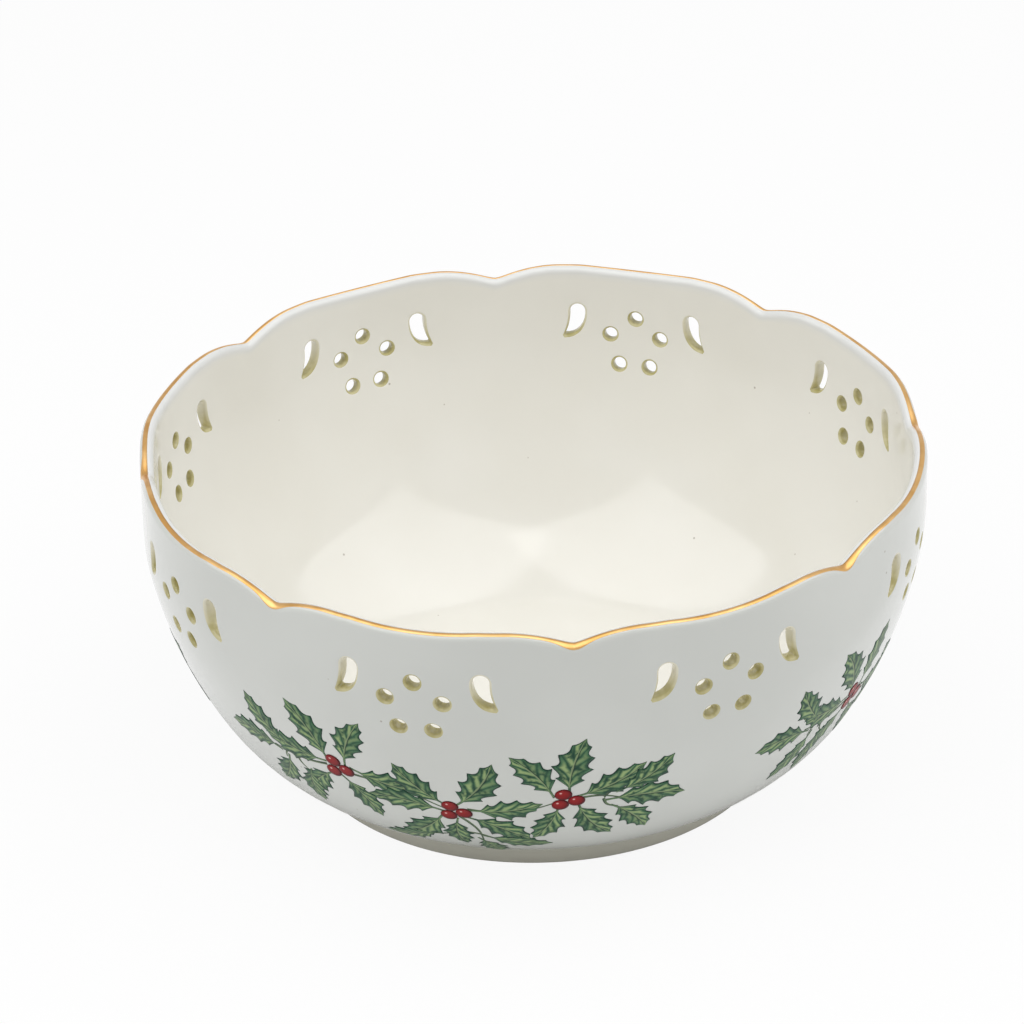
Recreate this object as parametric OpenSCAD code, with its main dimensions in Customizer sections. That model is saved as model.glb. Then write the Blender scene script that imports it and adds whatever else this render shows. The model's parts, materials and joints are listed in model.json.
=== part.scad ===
// Pierced serving bowl: a lobed porcelain body on a foot ring, a gilt line
// under its lip and fired-on holly transfers round its outside.
// Millimetres, +Z up. The origin is the middle of the face it stands on.

/* [Bowl] */
// Diameter across the lobes of the rim
bowl_d = 216; // [190:1:250]
// Height from the standing face to the top of the rim
bowl_h = 95.5; // [86:0.5:110]
// Thickness of the wall
wall_t = 3.8; // [3:0.1:5]
// Thickness of the floor
floor_t = 4.5; // [3.5:0.1:7]
// Height of the upright stretch of wall below the rim
brim_h = 6.5; // [4:0.5:9]
// How far the belly's curve would swell past the lobes
belly_over = 0.3; // [0.2:0.1:0.6]
// How far the foot's top edge lies inside the belly's circle
heel_in = 5.5; // [4:0.5:8]
// Radius of the curve between belly and foot
heel_r = 55; // [45:1:62]

/* [Foot] */
// Diameter of the foot ring where it stands
foot_d = 131.4; // [115:0.2:145]
// How much wider in radius the ring is at its top
foot_flare = 1.2; // [0.5:0.1:2]
// Height of the foot ring
foot_h = 6.5; // [5:0.5:9]
// Width of the standing face
foot_w = 4.5; // [3.5:0.1:6]
// Ledge between the ring's top and the heel of the wall
foot_ledge = 1; // [0.5:0.1:2]
// Depth of the hollow under the floor
recess_h = 3.5; // [2:0.1:4.5]

/* [Rim] */
// Number of lobes
lobes = 8; // [7:1:9]
// How far each notch cuts in from the lobes' circle
notch_in = 2; // [1.4:0.1:3]
// How far each notch drops below the rim's top
notch_drop = 4.2; // [3:0.1:5]
// Radius of the rounded shoulders beside a notch
shoulder_r = 45; // [35:1:55]
// How far the middle of a lobe dips
lobe_dip = 0.7; // [0.4:0.1:1]
// Width of that dip
dip_w = 34; // [24:1:40]

/* [Gilding] */
// Width of the gilt line
gilt_w = 1.5; // [0.8:0.1:2]
// Distance from the top of the lip to the line
gilt_below = 0.5; // [0.3:0.1:1]
// Thickness of the gilding
gilt_t = 0.1; // [0.05:0.01:0.2]

/* [Piercing] */
// Diameter of a round hole
hole_d = 4.8; // [3:0.1:5.5]
// Number of round holes in a flower
petals = 5; // [3:1:5]
// Radius of the circle that a flower's holes lie on
flower_r = 8.2; // [7:0.1:9]
// Depth of a flower's middle below the rim's top
flower_drop = 23.5; // [20:0.5:27]
// Distance from the flower to the head of a comma
comma_off = 18; // [17:0.5:20]
// Height of a comma's head above the flower's middle
comma_rise = 9.4; // [7:0.1:10]
// Width of a comma
comma_w = 5.4; // [4:0.1:6]
// Drop from the middle of a comma's head to the tip of its tail
comma_tail = 8.6; // [7:0.1:10]
// How far a tail's tip lies outside the middle of its head
comma_tip = 4.4; // [3:0.1:6]

/* [Holly] */
// Length of one transfer along the wall
spray_w = 118; // [110:1:126]
// Height of the band that the leaf stems lie in
spray_h = 56; // [50:1:58]
// Height of the band's lower edge, measured up the wall from the foot
spray_low = 12; // [10:0.5:14]
// How far each transfer sits to the right of its quarter
spray_turn = 3; // [0:1:8]
// Length of a full leaf
leaf_l = 19.5; // [16:0.5:21]
// Diameter of a berry
berry_d = 4.6; // [3.6:0.1:5.2]
// Width of a stem where it starts
stem_w = 1; // [0.6:0.1:1.4]
// Thickness of the fired colour
print_t = 0.12; // [0.08:0.01:0.2]

/* [Hidden] */
$fn = 180;

// How far a cutter runs past the face that it cuts
overrun = 6;
// How far a shoulder's circle stands over the rim, so that it crosses the top cleanly
shoulder_over = 0.05;

// Belly circle and heel circle of the wall, in the plane of its section
rim_r = bowl_d / 2;
belly_z = bowl_h - brim_h;
belly_r = rim_r + belly_over;
foot_r = foot_d / 2;
foot_top_r = foot_r + foot_flare;
heel_end_r = foot_top_r + foot_ledge;
heel_run = belly_r - heel_end_r;
heel_fall = belly_z - foot_h;
belly_arc_r = (heel_run ^ 2 + heel_fall ^ 2 - heel_in ^ 2) / (2 * (heel_run - heel_in));
belly_c = belly_r - belly_arc_r;
heel_far = belly_arc_r - heel_in;
heel_gap = belly_arc_r - heel_r;
heel_turn = acos((heel_gap ^ 2 + heel_far ^ 2 - heel_r ^ 2) / (2 * heel_gap * heel_far));
join_lean = atan2(heel_fall, heel_end_r - belly_c) - heel_turn;
heel_c = [belly_c + heel_gap * cos(join_lean), belly_z - heel_gap * sin(join_lean)];
end_lean = asin((heel_c[1] - foot_h) / heel_r);
floor_z = recess_h + floor_t;

// Arcs of the lobes: circles set off the axis, which cross in the notches
lobe_step = 360 / lobes;
notch_r = rim_r - notch_in;
lobe_off = (rim_r ^ 2 - notch_r ^ 2) / (2 * (rim_r - notch_r * cos(lobe_step / 2)));
lobe_arc_r = rim_r - lobe_off;
shoulder_z = bowl_h + shoulder_over - shoulder_r;
shoulder_x = sqrt(shoulder_r ^ 2 - (bowl_h - notch_drop - shoulder_z) ^ 2);
dip_r = (dip_w ^ 2 / 4 + lobe_dip ^ 2) / (2 * lobe_dip);

// Lengths along the wall's section, from the foot up
heel_len = heel_r * (end_lean - join_lean) * PI / 180;
print_r = wall_r(lean_at(spray_low + spray_h / 2));

// Leaf outline from its stalk to its tip: steps along the midrib and half widths, as
// shares of the length
leaf_step_shares = [-0.15, 0, 0.07, 0.2, 0.27, 0.43, 0.5, 0.66, 0.73, 0.86, 0.91, 1];
leaf_width_shares = [0.02, 0.02, 0.045, 0.2, 0.15, 0.285, 0.195, 0.245, 0.14, 0.13, 0.06, 0];
leaf_bend_share = 0.06;
// Berry clusters: place along the transfer and height in its band
cluster_shares = [[-0.25, 0.68], [0.01, 0.5], [0.26, 0.62]];
berry_angles = [110, 230, 350];
berry_spread_share = 0.57;
// Leaves: place, height, direction in degrees, share of a full leaf, side they bend to
leaf_shares = [
    [-0.275, 0.755, 118, 1, -1], [-0.225, 0.76, 66, 0.9, 1], [-0.3, 0.7, 168, 0.95, 1],
    [-0.285, 0.6, 232, 0.9, -1], [-0.235, 0.59, 292, 0.85, 1], [-0.195, 0.685, 352, 1, -1],
    [-0.4, 0.73, 122, 0.85, 1], [-0.43, 0.66, 178, 0.9, -1], [-0.4, 0.585, 236, 0.85, 1],
    [-0.345, 0.54, 262, 0.8, -1], [-0.02, 0.575, 128, 0.9, 1], [0.03, 0.585, 62, 1, -1],
    [-0.035, 0.51, 176, 0.95, -1], [-0.03, 0.42, 226, 1, 1], [0.01, 0.4, 272, 0.8, -1],
    [0.055, 0.44, 322, 0.95, 1], [0.065, 0.52, 14, 0.9, -1], [0.085, 0.25, 346, 0.85, -1],
    [0.06, 0.2, 282, 0.75, 1], [-0.07, 0.22, 202, 0.85, 1], [0.225, 0.69, 126, 0.9, -1],
    [0.265, 0.71, 78, 1, 1], [0.3, 0.66, 34, 0.95, -1], [0.24, 0.535, 246, 0.85, 1],
    [0.29, 0.55, 302, 0.95, -1], [0.37, 0.6, 352, 1, 1], [0.385, 0.67, 42, 0.85, -1],
    [0.375, 0.52, 306, 0.85, 1]
];
// Stems: place and height of both ends, and how far the middle bows up
stem_shares = [
    [-0.225, 0.66, -0.02, 0.53, 0.02], [0.04, 0.53, 0.235, 0.6, -0.02],
    [-0.275, 0.68, -0.43, 0.67, 0.01], [-0.36, 0.675, -0.345, 0.56, -0.01],
    [-0.37, 0.675, -0.405, 0.6, -0.01], [-0.37, 0.675, -0.4, 0.73, 0.01],
    [0.285, 0.63, 0.38, 0.6, 0.01], [0.34, 0.62, 0.385, 0.67, 0.01],
    [0.34, 0.61, 0.375, 0.53, -0.01], [0.02, 0.46, 0.06, 0.2, 0.015],
    [0.03, 0.3, 0.085, 0.25, 0.005], [0.025, 0.34, -0.07, 0.22, 0.01]
];
stem_steps = 8;
stem_tip_share = 0.45;
comma_steps = 8;
comma_hollow_share = 0.03;
comma_fullness = 0.8;

// Lean of the wall's normal below the horizontal, a given length up from the foot
function lean_at(s) = s < heel_len
    ? end_lean - s / heel_r * 180 / PI
    : join_lean - (s - heel_len) / belly_arc_r * 180 / PI;
function wall_r(lean) = lean > join_lean
    ? heel_c[0] + heel_r * cos(lean)
    : belly_c + belly_arc_r * cos(lean);
function wall_z(lean) = lean > join_lean
    ? heel_c[1] - heel_r * sin(lean)
    : belly_z - belly_arc_r * sin(lean);
function lean_of(z) = asin((belly_z - z) / belly_arc_r);

// Local frame on the outer wall: X to the right, Y up the wall, Z outward
module on_wall(azimuth, lean) {
    rotate([0, 0, azimuth])
        translate([wall_r(lean), 0, wall_z(lean)])
            rotate([0, 90 + lean, 0])
                rotate([0, 0, 90])
                    children();
}

// Half section of what lies inside the wall's curve, moved out by off, from low_z up
module curve_section(off, low_z) {
    join_z = belly_z - (belly_arc_r + off) * sin(join_lean);
    wide = belly_r + off + overrun;
    translate([0, belly_z])
        square([belly_r + off, brim_h + overrun]);
    intersection() {
        translate([belly_c, belly_z])
            circle(r = belly_arc_r + off);
        translate([0, join_z])
            square([wide, belly_z - join_z]);
    }
    translate([0, low_z])
        square([heel_c[0], join_z - low_z]);
    intersection() {
        translate(heel_c)
            circle(r = heel_r + off);
        translate([0, low_z])
            square([wide, join_z - low_z]);
    }
}

// Upright prism inside the lobes' arcs, moved out by off
module lobed_prism(off) {
    for (k = [0 : lobes - 1])
        rotate(k * lobe_step)
            translate([lobe_off, 0, -overrun])
                cylinder(h = bowl_h + 3 * overrun, r = lobe_arc_r + off);
}

// Everything above the rim's wavy top, lowered by drop
module above_rim(drop) {
    translate([0, 0, bowl_h - drop])
        cylinder(h = 2 * overrun, r = rim_r + overrun);
    for (k = [0 : lobes - 1]) {
        rotate((k + 0.5) * lobe_step)
            translate([rim_r / 2, 0, -drop])
                rotate([90, 0, 90])
                    linear_extrude(rim_r / 2 + overrun)
                        notch_section();
        rotate(k * lobe_step)
            translate([rim_r / 2, 0, bowl_h - lobe_dip + dip_r - drop])
                rotate([0, 90, 0])
                    cylinder(h = rim_r / 2 + overrun, r = dip_r);
    }
}

// Notch between two rounded shoulders, seen from outside the bowl
module notch_section() {
    difference() {
        translate([-shoulder_x, bowl_h - notch_drop - overrun])
            square([2 * shoulder_x, notch_drop + 2 * overrun]);
        translate([-shoulder_x, shoulder_z])
            circle(r = shoulder_r);
        translate([shoulder_x, shoulder_z])
            circle(r = shoulder_r);
    }
}

// Outline of a comma: a round head, a full side towards the flower that sweeps
// round to the tail's tip, and a slightly hollow side away from it
function comma_full(t) = [
    comma_tip - (comma_tip + comma_w / 2) * cos(90 * t) ^ comma_fullness,
    -comma_tail * sin(90 * t)
];
function comma_hollow(t) = [
    comma_w / 2 + (comma_tip - comma_w / 2) * t ^ 2 - comma_hollow_share * comma_w * sin(180 * t),
    -comma_tail * t
];
function comma_points() = concat(
    [for (i = [0 : comma_steps]) let (a = 180 * i / comma_steps)
        comma_w / 2 * [cos(a), sin(a)]],
    [for (i = [1 : comma_steps]) comma_full(i / comma_steps)],
    [for (i = [comma_steps - 1 : -1 : 1]) comma_hollow(i / comma_steps)]
);

// One lobe's piercing: a flower of round holes between two commas
module piercing() {
    flower_z = bowl_h - flower_drop;
    per_mm = 180 / PI / rim_r;
    for (i = [0 : petals - 1])
        let (a = 90 + 360 * i / petals)
            on_wall(flower_r * cos(a) * per_mm, lean_of(flower_z + flower_r * sin(a)))
                cylinder(h = 2 * (wall_t + overrun), d = hole_d, center = true);
    for (side = [-1, 1])
        on_wall(side * comma_off * per_mm, lean_of(flower_z + comma_rise))
            translate([0, 0, -wall_t - overrun])
                linear_extrude(wall_t + 2 * overrun)
                    mirror([side < 0 ? 1 : 0, 0])
                        polygon(comma_points());
}

module porcelain_bowl() {
    color("ivory")
        difference() {
            intersection() {
                rotate_extrude() {
                    curve_section(0, foot_h);
                    polygon([[0, 0], [foot_r, 0], [foot_top_r, foot_h], [0, foot_h]]);
                }
                lobed_prism(0);
            }
            above_rim(0);
            intersection() {
                rotate_extrude()
                    curve_section(-wall_t, floor_z);
                lobed_prism(-wall_t);
            }
            translate([0, 0, -overrun])
                cylinder(h = overrun + recess_h, r = foot_r - foot_w);
            for (k = [0 : lobes - 1])
                rotate(k * lobe_step)
                    piercing();
        }
}

module gilt_rim_line() {
    color("goldenrod")
        difference() {
            lobed_prism(gilt_t);
            lobed_prism(0);
            above_rim(gilt_below);
            difference() {
                translate([0, 0, -2 * overrun])
                    cylinder(h = bowl_h + 2 * overrun, r = rim_r + overrun);
                above_rim(gilt_below + gilt_w);
            }
        }
}

// Thin layer on the outside of the wall that the transfers are cut from
module print_layer() {
    rotate_extrude()
        difference() {
            curve_section(print_t, foot_h);
            curve_section(0, foot_h - overrun);
        }
}

// Place in a transfer: share of its width and share of its band's height
module in_spray(place) {
    on_wall(place[0] * spray_w / print_r * 180 / PI, lean_at(spray_low + place[1] * spray_h))
        translate([0, 0, -overrun / 2])
            linear_extrude(overrun)
                children();
}

// Leaf with spines, from its stalk at the origin along +X
module leaf_outline(size, bend) {
    l = leaf_l * size;
    last = len(leaf_step_shares) - 1;
    arch = [for (t = leaf_step_shares) bend * leaf_bend_share * 4 * t * (1 - t)];
    right = [for (i = [0 : last]) l * [leaf_step_shares[i], arch[i] - leaf_width_shares[i]]];
    left = [for (i = [last - 1 : -1 : 0]) l * [leaf_step_shares[i], arch[i] + leaf_width_shares[i]]];
    polygon(concat(right, left));
}

module leaves() {
    for (p = leaf_shares)
        in_spray([p[0], p[1]])
            rotate(p[2])
                leaf_outline(p[3], p[4]);
}

module berries() {
    for (p = cluster_shares)
        for (a = berry_angles)
            in_spray(p)
                translate(berry_spread_share * berry_d * [cos(a), sin(a)])
                    circle(d = berry_d);
}

// Stem as a bowed strip that narrows towards its far end
module stem_outline(run, bow) {
    across = [-run[1], run[0]] / norm(run);
    mid = [for (i = [0 : stem_steps]) let (t = i / stem_steps)
        run * (t - 0.5) + across * bow * sin(180 * t)];
    half = [for (i = [0 : stem_steps])
        stem_w / 2 * (1 - (1 - stem_tip_share) * i / stem_steps)];
    polygon(concat(
        [for (i = [0 : stem_steps]) mid[i] - across * half[i]],
        [for (i = [stem_steps : -1 : 0]) mid[i] + across * half[i]]
    ));
}

module stems() {
    for (p = stem_shares)
        in_spray([(p[0] + p[2]) / 2, (p[1] + p[3]) / 2])
            stem_outline([(p[2] - p[0]) * spray_w, (p[3] - p[1]) * spray_h], p[4] * spray_w);
}

module holly_leaves(quarter) {
    color("darkgreen")
        rotate(quarter + spray_turn)
            difference() {
                intersection() {
                    print_layer();
                    leaves();
                }
                berries();
            }
}

module holly_berries(quarter) {
    color("firebrick")
        rotate(quarter + spray_turn)
            intersection() {
                print_layer();
                berries();
            }
}

module holly_stems(quarter) {
    color("olivedrab")
        rotate(quarter + spray_turn)
            difference() {
                intersection() {
                    print_layer();
                    stems();
                }
                leaves();
                berries();
            }
}

porcelain_bowl();
gilt_rim_line();
holly_leaves(-90);  // front_holly_leaves
holly_leaves(0);  // right_holly_leaves
holly_leaves(90);  // back_holly_leaves
holly_leaves(180);  // left_holly_leaves
holly_berries(-90);  // front_holly_berries
holly_berries(0);  // right_holly_berries
holly_berries(90);  // back_holly_berries
holly_berries(180);  // left_holly_berries
holly_stems(-90);  // front_holly_stems
holly_stems(0);  // right_holly_stems
holly_stems(90);  // back_holly_stems
holly_stems(180);  // left_holly_stems
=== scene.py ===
import bpy
import bmesh
import json
import math
import random
from mathutils import Matrix, Vector

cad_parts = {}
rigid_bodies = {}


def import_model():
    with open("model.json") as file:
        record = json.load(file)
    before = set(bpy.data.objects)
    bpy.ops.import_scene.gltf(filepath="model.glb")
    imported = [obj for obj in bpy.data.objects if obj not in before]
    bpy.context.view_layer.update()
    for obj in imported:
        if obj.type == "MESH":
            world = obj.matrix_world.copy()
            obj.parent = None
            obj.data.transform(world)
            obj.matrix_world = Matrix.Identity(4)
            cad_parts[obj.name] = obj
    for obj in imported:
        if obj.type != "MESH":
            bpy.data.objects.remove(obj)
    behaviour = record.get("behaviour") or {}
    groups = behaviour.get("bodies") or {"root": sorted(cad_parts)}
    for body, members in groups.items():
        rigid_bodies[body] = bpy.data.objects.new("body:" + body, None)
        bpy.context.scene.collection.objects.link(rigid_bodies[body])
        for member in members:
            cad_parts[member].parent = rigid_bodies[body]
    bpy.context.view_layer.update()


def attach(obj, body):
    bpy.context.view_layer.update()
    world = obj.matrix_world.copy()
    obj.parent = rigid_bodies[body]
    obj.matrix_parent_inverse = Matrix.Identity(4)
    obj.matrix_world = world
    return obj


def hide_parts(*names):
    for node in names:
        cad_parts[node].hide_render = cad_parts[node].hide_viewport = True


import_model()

# Metres throughout, in the same frame as the solids: +Z up, the bowl stands on z = 0,
# -Y is the front and the lobes of the rim point along X and Y.

bowl = {
    "rimRadius": 0.108,
    "height": 0.0955,
    "wall": 0.0038,
    "floor": 0.008,
    "brimHeight": 0.0065,
    "bellyOver": 0.0003,      # the belly's widest radius is this much over the rim's
    "heelIn": 0.0055,
    "heelRadius": 0.055,
    "footRadius": 0.0657,
    "footFlare": 0.0012,
    "footHeight": 0.0065,
    "footWidth": 0.0045,
    "footLedge": 0.001,
    "recess": 0.0035,
    "lobes": 8,
    "notchIn": 0.002,
    "notchDrop": 0.0042,
    "shoulderRadius": 0.045,
    "shoulderOver": 0.00005,
    "lobeDip": 0.0007,
    "dipWidth": 0.034,
    "creaseSoft": 0.003,      # how gently two lobes meet
    "notchSoft": 0.0014,
    "bellySoft": 0.0008,      # how gently a lobe runs into the belly
    "lobesBeyond": 0.1,       # the wall is lobed outside this radius
    "wavyAbove": 0.0862,      # rows above this height follow the wavy top
    "lipRound": 0.0017,
    "lipSteps": 6,
    "lipFrom": 0.0885,        # faces above this height belong to the lip
    "holeRound": 0.00095,
    "holeSteps": 5,
    "mergeGap": 0.00002,
}

# Rings drawn out from the lower edges of the wall, to close the foot and the floor. Pairs
# hold a height, and before it the step outwards from the foot's top, outer or inner radius,
# or in the cove the radius itself. Single numbers are radii, and recessIn is a step inwards.
rings = {
    "footTop": ((0.0003, 0.00645), (0, 0.0061)),
    "footOutside": ((0.0006, 0.0034), (0.0001, 0.0009), (-0.0001, 0.00035), (-0.0007, 0)),
    "footInside": ((0.0007, 0), (0.0001, 0.0004), (0, 0.0012), (-0.0002, 0.0028)),
    "recessIn": 0.0012,
    "recess": (0.045, 0.022, 0.004),
    "cove": ((0.0640, 0.00895), (0.0618, 0.00823), (0.0590, 0.00804)),
    "floor": (0.0540, 0.036, 0.018, 0.004),
}

piercing = {
    "holeRadius": 0.0024,
    "petals": 5,              # round holes in a flower
    "flowerRadius": 0.0082,
    "flowerHeight": 0.072,
    "commaOff": 0.018,
    "commaRise": 0.0094,
    "commaWidth": 0.0054,
    "commaTail": 0.0086,
    "commaTip": 0.0044,
    "commaFullness": 0.8,
    "commaHollow": 0.03,
    "throatIn": 0.0005,       # glaze gathered in a round hole's throat
    "commaThroatIn": 0.0004,
    "ringGap": 0.0006,        # first ring of faces round a hole
    "commaRingGap": 0.0008,
    "roundBlock": 3,          # columns and rows cleared on each side of a round hole
    "commaBlock": (12, 20, 0, 12),     # the same for the right comma, from the flower
    "bandFrom": 0.05,         # all holes are above this height
    "tintReach": 0.93,        # nearer 1, and the tint of painted shade reaches further out of the holes
    "tintCloses": 2,
}

panelGrid = {
    "columns": 72,            # over one lobe
    "fineStep": 0.001155,     # between rows in the pierced band
    "fineBelow": 11,          # rows of it below a flower's middle
    "fineAbove": 14,
    "rowsBelow": 18,
    "rowsAbove": (0.0973, 0.0990, 0.1006),
}

# Section of the outer wall: a heel arc and a belly arc that meet smoothly
bellyZ = bowl["height"] - bowl["brimHeight"]
bellyR = bowl["rimRadius"] + bowl["bellyOver"]
footTopR = bowl["footRadius"] + bowl["footFlare"]
heelEndR = footTopR + bowl["footLedge"]
heelRun = bellyR - heelEndR
heelFall = bellyZ - bowl["footHeight"]
bellyArc = ((heelRun ** 2 + heelFall ** 2 - bowl["heelIn"] ** 2)
            / (2 * (heelRun - bowl["heelIn"])))
bellyC = bellyR - bellyArc
heelFar = bellyArc - bowl["heelIn"]
heelGap = bellyArc - bowl["heelRadius"]
heelTurn = math.acos((heelGap ** 2 + heelFar ** 2 - bowl["heelRadius"] ** 2)
                     / (2 * heelGap * heelFar))
joinLean = math.atan2(heelFall, heelEndR - bellyC) - heelTurn
heelC = (bellyC + heelGap * math.cos(joinLean), bellyZ - heelGap * math.sin(joinLean))
endLean = math.asin((heelC[1] - bowl["footHeight"]) / bowl["heelRadius"])
heelLength = bowl["heelRadius"] * (endLean - joinLean)
bellyLength = heelLength + bellyArc * joinLean

# Plan of the lobes and outline of the wavy top
lobeStep = 2 * math.pi / bowl["lobes"]
notchR = bowl["rimRadius"] - bowl["notchIn"]
lobeOff = ((bowl["rimRadius"] ** 2 - notchR ** 2)
           / (2 * (bowl["rimRadius"] - notchR * math.cos(lobeStep / 2))))
lobeArc = bowl["rimRadius"] - lobeOff
shoulderZ = bowl["height"] + bowl["shoulderOver"] - bowl["shoulderRadius"]
shoulderX = math.sqrt(bowl["shoulderRadius"] ** 2
                      - (bowl["height"] - bowl["notchDrop"] - shoulderZ) ** 2)
dipR = (bowl["dipWidth"] ** 2 / 4 + bowl["lobeDip"] ** 2) / (2 * bowl["lobeDip"])


def softMin(a, b, soft):           # the smaller one, with the corner between them rounded
    near = max(soft - abs(a - b), 0) / soft
    return min(a, b) - near * near * soft / 4


def softMax(a, b, soft):
    return -softMin(-a, -b, soft)


def smooth(x):
    x = min(max(x, 0), 1)
    return x * x * (3 - 2 * x)


def leanAt(s):                     # s is the length along the wall, up from the foot
    if s < heelLength:
        return endLean - s / bowl["heelRadius"]
    return max(joinLean - (s - heelLength) / bellyArc, 0)


def heightToLength(z):
    return heelLength + bellyArc * (joinLean - math.asin((bellyZ - z) / bellyArc))


def sectionAt(s):
    lean = leanAt(s)
    if s < heelLength:
        return (heelC[0] + bowl["heelRadius"] * math.cos(lean),
                heelC[1] - bowl["heelRadius"] * math.sin(lean))
    return (bellyC + bellyArc * math.cos(lean),
            bellyZ - bellyArc * math.sin(lean) + max(s - bellyLength, 0))


def lobeRadius(turn):
    a = (turn + lobeStep / 2) % lobeStep - lobeStep / 2
    radii = []
    for b in (a, a - lobeStep if a > 0 else a + lobeStep):
        radii.append(lobeOff * math.cos(b)
                     + math.sqrt(lobeArc ** 2 - (lobeOff * math.sin(b)) ** 2))
    return softMax(radii[0], radii[1], bowl["creaseSoft"])


def rimTop(turn):
    a = (turn + lobeStep / 2) % lobeStep - lobeStep / 2
    fromMiddle = abs(bowl["rimRadius"] * math.sin(a))
    fromNotch = notchR * math.sin(lobeStep / 2 - abs(a))
    top = bowl["height"]
    if fromNotch < shoulderX:
        x = shoulderX - math.hypot(fromNotch, bowl["notchSoft"])
        top = min(top, shoulderZ + math.sqrt(bowl["shoulderRadius"] ** 2 - x * x))
    if fromMiddle < bowl["dipWidth"] / 2:
        top = min(top, bowl["height"] - bowl["lobeDip"] + dipR
                  - math.sqrt(dipR ** 2 - fromMiddle ** 2))
    return top


fullLength = bellyLength + bowl["brimHeight"]
bandTop = heightToLength(bowl["wavyAbove"])


def wallPoint(turn, s):
    drop = bowl["height"] - rimTop(turn)
    s = s - drop * smooth((s - bandTop) / (fullLength - bandTop))
    r, z = sectionAt(s)
    if r > bowl["lobesBeyond"]:
        r = softMin(r, lobeRadius(turn), bowl["bellySoft"])
    return Vector((r * math.cos(turn), r * math.sin(turn), z))


def wallNormal(turn, s):
    aside, above = 0.002, 0.0002       # small steps, as a turn and as a length
    across = wallPoint(turn + aside, s) - wallPoint(turn - aside, s)
    upward = wallPoint(turn, s + above) - wallPoint(turn, s - above)
    return across.cross(upward).normalized()


def deselectAll():
    if bpy.context.object and bpy.context.object.mode != "OBJECT":
        bpy.ops.object.mode_set(mode="OBJECT")
    bpy.ops.object.select_all(action="DESELECT")


def makeActive(obj):
    deselectAll()
    obj.select_set(True)
    bpy.context.view_layer.objects.active = obj


def startEdit(obj):
    makeActive(obj)
    bpy.ops.object.mode_set(mode="EDIT")
    bpy.ops.mesh.select_all(action="DESELECT")


def pick(obj, kind, test):
    bpy.ops.mesh.select_mode(type=kind)
    bpy.ops.mesh.select_all(action="DESELECT")
    mesh = bmesh.from_edit_mesh(obj.data)
    items = {"VERT": mesh.verts, "EDGE": mesh.edges, "FACE": mesh.faces}[kind]
    found = 0
    for item in items:
        if test(item):
            item.select_set(True)
            found += 1
    mesh.select_flush_mode()
    bmesh.update_edit_mesh(obj.data)
    return found


def moveSelected(obj, place):
    mesh = bmesh.from_edit_mesh(obj.data)
    for v in mesh.verts:
        if v.select:
            v.co = place(v.co)
    bmesh.update_edit_mesh(obj.data)


def renamed(name):
    obj = bpy.context.object
    obj.name = name
    obj.data.name = name
    return obj


def applyModifier(obj, kind, **values):
    makeActive(obj)
    mod = obj.modifiers.new(kind.title(), kind)
    for key, value in values.items():
        setattr(mod, key, value)
    bpy.ops.object.modifier_apply(modifier=mod.name)


def startMaterial(name):
    mat = bpy.data.materials.new(name)
    mat.use_nodes = True
    tree = mat.node_tree
    shader = tree.nodes["Principled BSDF"]
    return mat, tree, shader


def addNode(tree, kind, inputs=None, **settings):
    node = tree.nodes.new("ShaderNode" + kind)
    for key, value in settings.items():
        setattr(node, key, value)
    for key, value in (inputs or {}).items():
        if isinstance(value, bpy.types.NodeSocket):
            tree.links.new(value, node.inputs[key])
        else:
            node.inputs[key].default_value = value
    return node


def maths(tree, operation, a, b=0.0, c=0.0, clamp=False):
    return addNode(tree, "Math", {0: a, 1: b, 2: c}, operation=operation,
                   use_clamp=clamp).outputs[0]


def ramp(tree, value, low, high, outLow=0.0, outHigh=1.0):
    return addNode(tree, "MapRange", {"Value": value, "From Min": low, "From Max": high,
                                      "To Min": outLow, "To Max": outHigh},
                   interpolation_type="SMOOTHSTEP").outputs[0]


def blend(tree, share, a, b):
    return addNode(tree, "Mix", {"Factor": share, 6: a, 7: b}, data_type="RGBA").outputs[2]


def noise(tree, where, scale, detail=2.0):
    return addNode(tree, "TexNoise", {"Vector": where, "Scale": scale,
                                      "Detail": detail}).outputs[0]


glazeLook = {
    # lit and shaded copies of one glaze: the outside darker and cooler as painted shade, the
    # inside lighter and warmer as painted light
    "outside": ((0.69, 0.704, 0.668, 1), (0.66, 0.674, 0.638, 1)),
    "inside": ((0.872, 0.858, 0.802, 1), (0.848, 0.832, 0.77, 1)),
    # painted shade: the outside darkens towards the foot
    "heel": (0.58, 0.585, 0.54, 1),
    # painted shade on the foot ring, in a warmer tone
    "foot": (0.75, 0.735, 0.64, 1),
    # painted light: a cooler, whiter tone on the lip
    "lip": (0.79, 0.795, 0.78, 1),
    "bisque": (0.62, 0.60, 0.54, 1),
    "speck": (0.30, 0.25, 0.19, 1),
    "speckShare": 0.93,       # nearer 1 for fewer specks
    "speckScale": 210.0,
    "speckEdge": (0.05, 0.09),
    "speckDepth": 0.6,
    "heelShadeFade": (0.015, 0.0075),       # heights between which a tone takes over; the heel's and the foot's tones are painted shade
    "footShadeFade": (0.0072, 0.0058),
    "bareFade": (0.0005, 0.0002),
    "lipLightFade": (0.0032, 0.002),        # the painted light on the lip starts this far below the rim, over this height
    "roughness": 0.14,
    "bareRoughness": 0.45,
    "waviness": 0.00005,
}


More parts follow.
